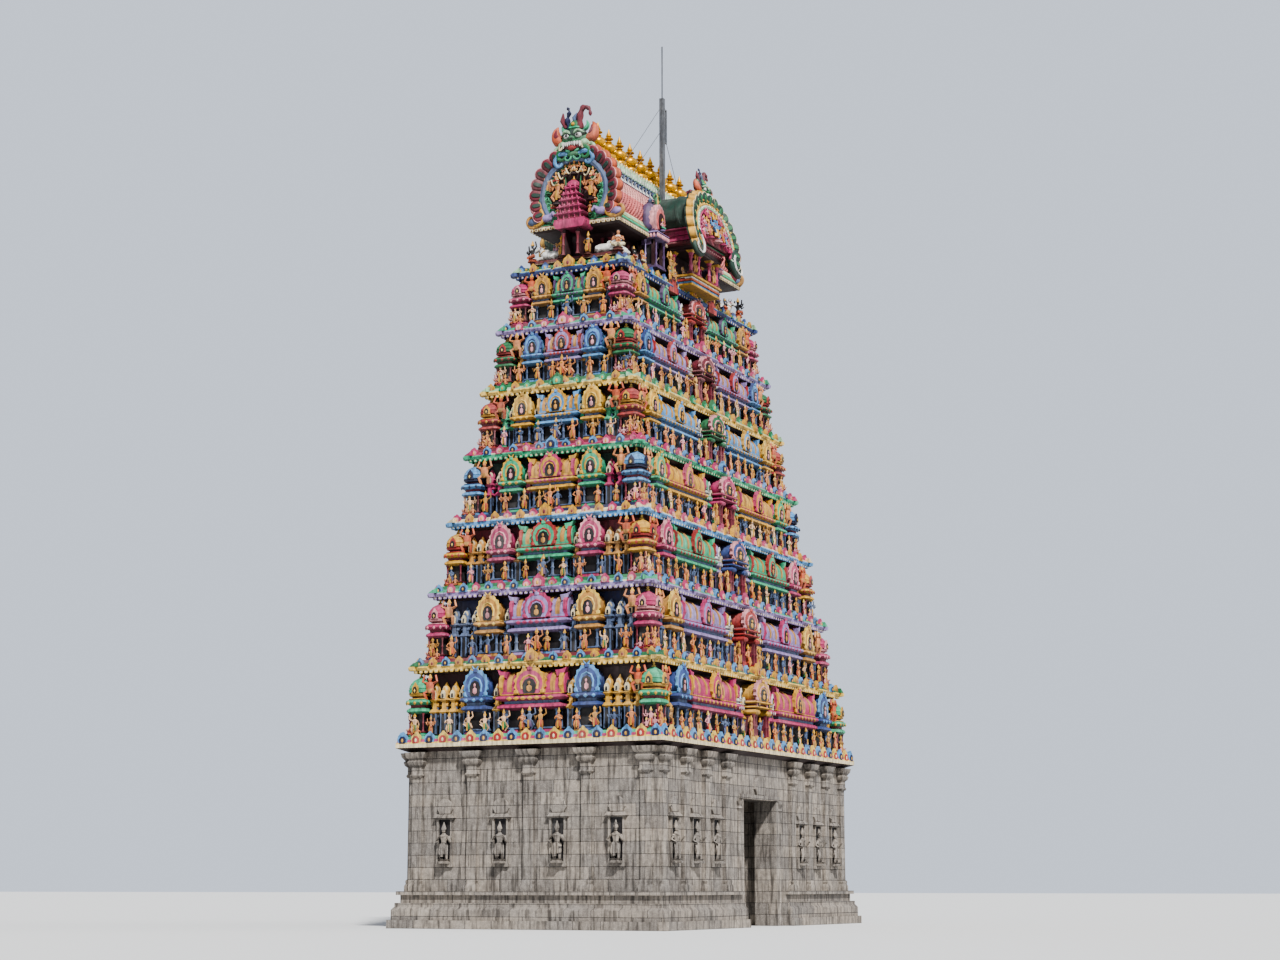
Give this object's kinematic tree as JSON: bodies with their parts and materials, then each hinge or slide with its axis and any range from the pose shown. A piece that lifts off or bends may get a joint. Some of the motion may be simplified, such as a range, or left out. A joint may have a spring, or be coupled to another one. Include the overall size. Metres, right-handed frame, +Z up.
{
  "type": "temple gateway tower",
  "caption": "Stepped temple gateway tower: granite gateway storey, tiers of painted miniature shrines, barrel roof with gables and dormers, gilded finials and a stayed mast.",
  "frame": {"origin": "on the ground, at the middle of the base", "axes": "+X along the ridge, +Y from front to back through the gateway, +Z up"},
  "size_m": [19.8284, 11.8684, 37.87],
  "materials": {
    "granite": "weathered dressed granite",
    "stucco_cream": "painted lime stucco, eggshell",
    "stucco_rose": "painted lime stucco, eggshell",
    "stucco_mint": "painted lime stucco, eggshell",
    "stucco_blue": "painted lime stucco, eggshell",
    "stucco_lavender": "painted lime stucco, eggshell",
    "stucco_gold": "painted lime stucco, eggshell",
    "stucco_maroon": "painted lime stucco, matte",
    "stucco_green": "painted lime stucco, satin",
    "roof_tile": "painted stucco in a lattice of small tiles",
    "gilt": "gilded copper, polished",
    "steel": "grey paint on galvanised steel"
  },
  "bodies": {
    "root": {"back_dormer_arch": "stucco_gold", "back_dormer_barrel": "stucco_green", "back_dormer_porch": "stucco_rose", "back_gate_frame": "granite", "back_niche_left": "stucco_lavender", "back_niche_right": "stucco_lavender", "base_cornice": "stucco_cream", "base_left_block": "granite", "base_right_block": "granite", "eave_cornice": "stucco_cream", "finial_1": "gilt", "finial_2": "gilt", "finial_3": "gilt", "finial_4": "gilt", "finial_5": "gilt", "finial_6": "gilt", "finial_7": "gilt", "finial_8": "gilt", "finial_9": "gilt", "front_dormer_arch": "stucco_gold", "front_dormer_barrel": "stucco_green", "front_dormer_porch": "stucco_rose", "front_gate_frame": "granite", "front_niche_left": "stucco_lavender", "front_niche_right": "stucco_lavender", "left_end_shrine": "stucco_rose", "left_gable": "stucco_gold", "mast": "steel", "mast_stay_left": "steel", "mast_stay_middle": "steel", "mast_stay_right": "steel", "neck_ledge": "stucco_maroon", "neck_wall": "stucco_maroon", "passage_ceiling": "granite", "ridge_band": "stucco_cream", "right_end_shrine": "stucco_rose", "right_gable": "stucco_gold", "roof_vault": "roof_tile", "storey_1_cornice": "stucco_gold", "storey_1_shrines": "stucco_rose", "storey_2_cornice": "stucco_lavender", "storey_2_shrines": "stucco_mint", "storey_3_cornice": "stucco_blue", "storey_3_shrines": "stucco_gold", "storey_4_cornice": "stucco_mint", "storey_4_shrines": "stucco_rose", "storey_5_cornice": "stucco_gold", "storey_5_shrines": "stucco_blue", "storey_6_cornice": "stucco_lavender", "storey_6_shrines": "stucco_mint", "storey_7_cornice": "stucco_blue", "storey_7_shrines": "stucco_rose"}
  },
  "joints": []
}
